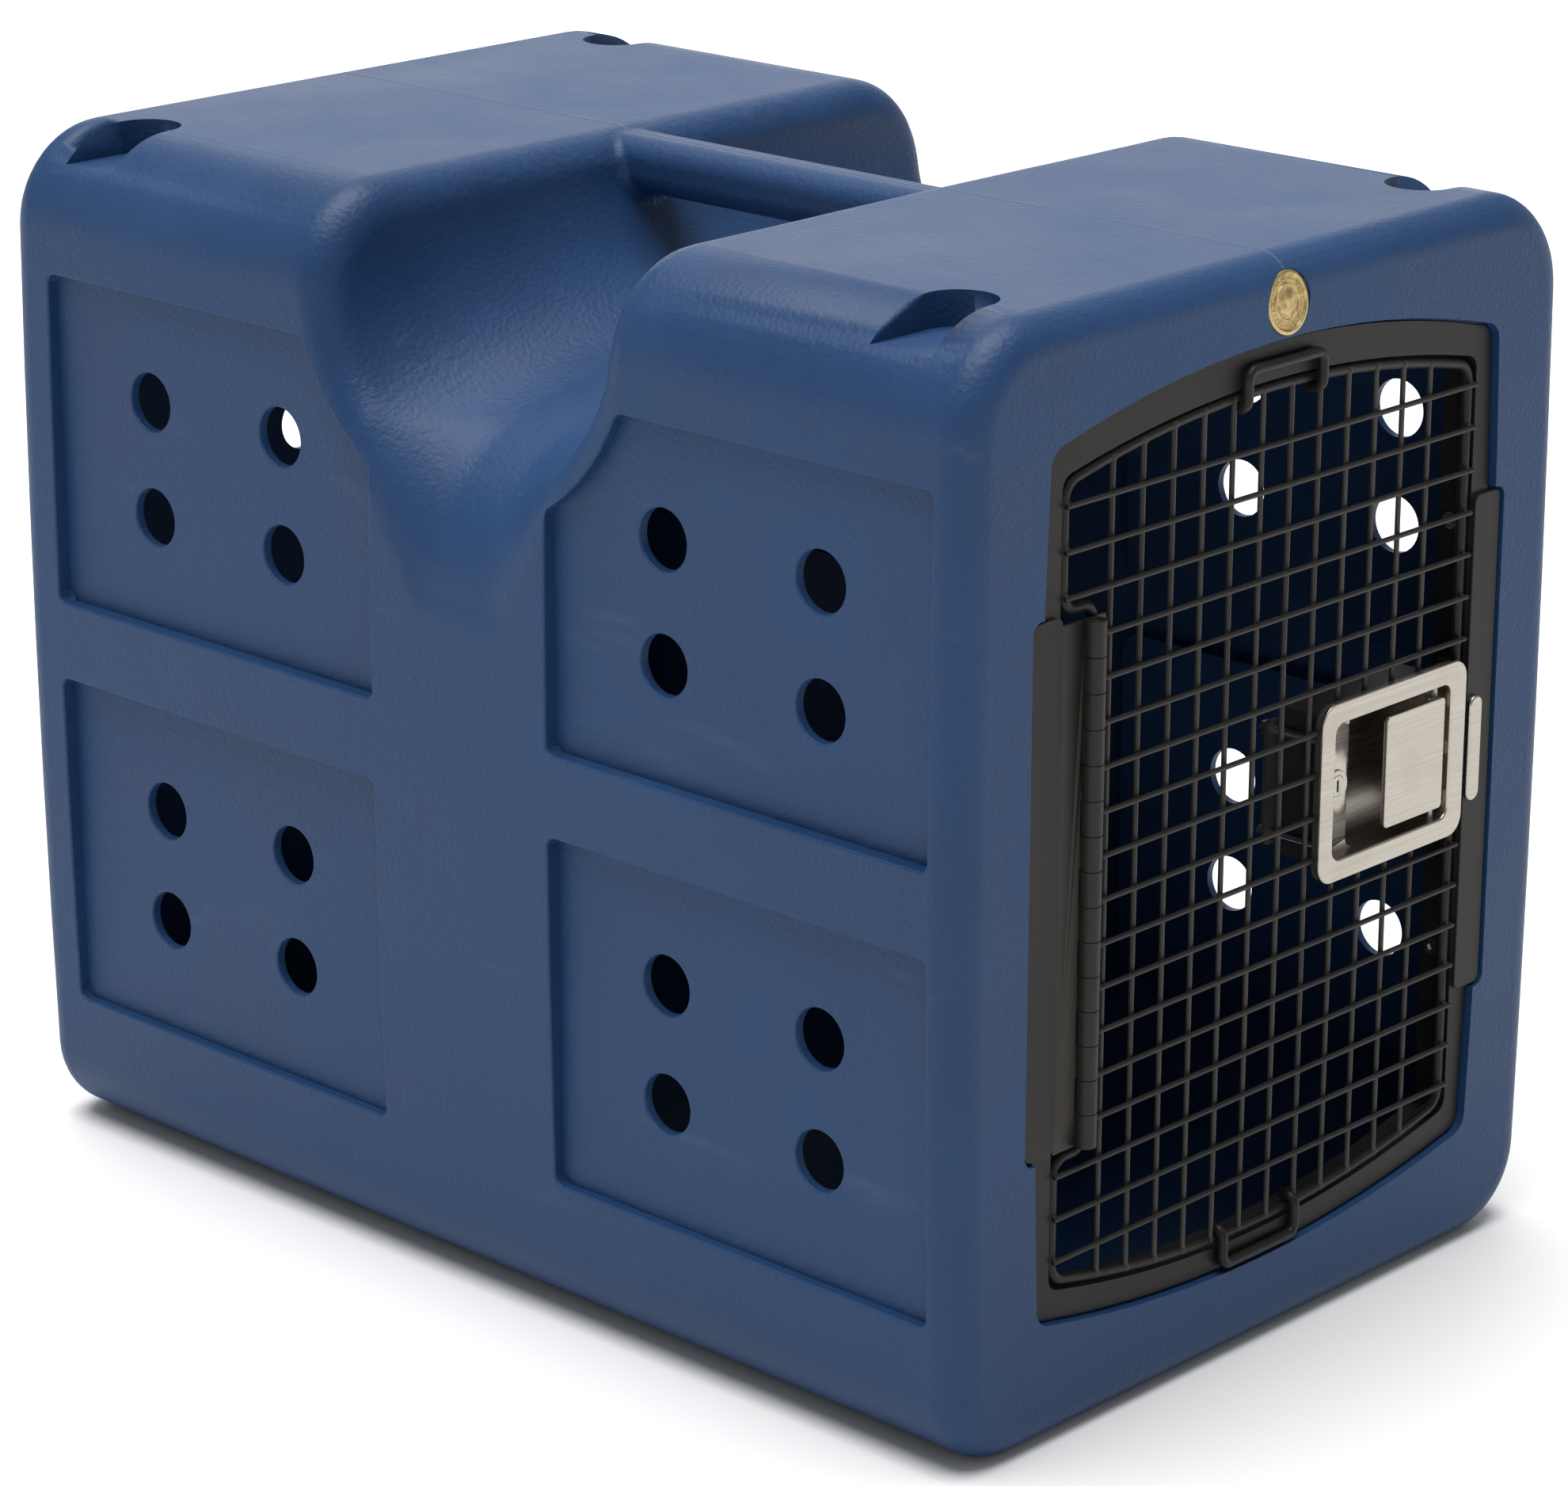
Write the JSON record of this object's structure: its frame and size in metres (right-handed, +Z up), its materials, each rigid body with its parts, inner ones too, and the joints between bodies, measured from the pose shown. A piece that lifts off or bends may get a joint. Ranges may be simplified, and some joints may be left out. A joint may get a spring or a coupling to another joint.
{
  "type": "pet transport carrier",
  "caption": "One-piece moulded dog kennel with a saddle and carry handle on top, vented side panels and a steel framed wire door on a long hinge with a paddle latch.",
  "frame": {"origin": "middle of the flat base, on the floor", "axes": "+Z up, +Y from the door towards the rear wall, +X from the hinge side towards the latch side"},
  "size_m": [0.532, 0.7935, 0.646],
  "materials": {
    "shell_plastic": "fine orange-peel moulded texture, navy",
    "powder_coat": "satin powder coat, dark warm grey",
    "stainless": "fine brushed stainless",
    "bare_steel": "plain drawn steel",
    "bright_zinc": "bright zinc plate",
    "lock_metal": "satin plated die cast",
    "black_cover": "satin black",
    "badge_metal": "aged gold colour",
    "gasket_rubber": "matt"
  },
  "bodies": {
    "enclosure": {"kennel_shell": "shell_plastic", "badge_plate": "badge_metal", "door_frame": "powder_coat", "hinge_side_plate": "powder_coat", "latch_side_plate": "powder_coat", "strike_plate": "stainless", "strike_rivets": "stainless", "frame_screws": "bright_zinc", "hinge_frame_leaf": "powder_coat", "hinge_pin": "bare_steel"},
    "door": {"hinge_door_leaf": "powder_coat", "door_rim_rod": "powder_coat", "door_upright_wires": "powder_coat", "door_cross_wires": "powder_coat", "top_stop_loop": "powder_coat", "bottom_stop_loop": "powder_coat", "latch_pan": "stainless", "latch_gasket": "gasket_rubber", "latch_seat_plate": "powder_coat", "pan_rivets": "stainless", "lock_barrel": "lock_metal", "paddle_pin": "bare_steel", "paddle_spring": "bare_steel", "latch_housing": "black_cover", "clamp_studs": "bright_zinc", "clamp_straps": "powder_coat", "clamp_nuts": "bright_zinc"},
    "paddle": {"latch_paddle": "stainless"},
    "bolt": {"latch_bolt": "bare_steel"},
    "lock": {"lock_plug": "lock_metal", "lock_cam": "bare_steel"}
  },
  "joints": [
    {"name": "door_swing", "type": "hinge", "parent": "enclosure", "child": "door", "pos_m": [-0.16, -0.3945, 0.3245], "axis": [0, 0, -1], "range_deg": [0, 170]},
    {"name": "paddle_pull", "type": "hinge", "parent": "door", "child": "paddle", "pos_m": [0.1564, -0.387, 0.3245], "axis": [0, 0, 1], "range_deg": [0, 20], "stiffness_Nm_per_rad": 0.4, "springref_deg": -11.46},
    {"name": "bolt_slide", "type": "slide", "parent": "door", "child": "bolt", "axis": [-1, 0, 0], "range_m": [0, 0.009]},
    {"name": "lock_turn", "type": "hinge", "parent": "door", "child": "lock", "pos_m": [0.0664, -0.386, 0.3245], "axis": [0, -1, 0], "range_deg": [0, 90]}
  ],
  "couplings": [
    {"joint": "bolt_slide", "follows": "paddle_pull", "m_per_rad": 0.02547}
  ]
}
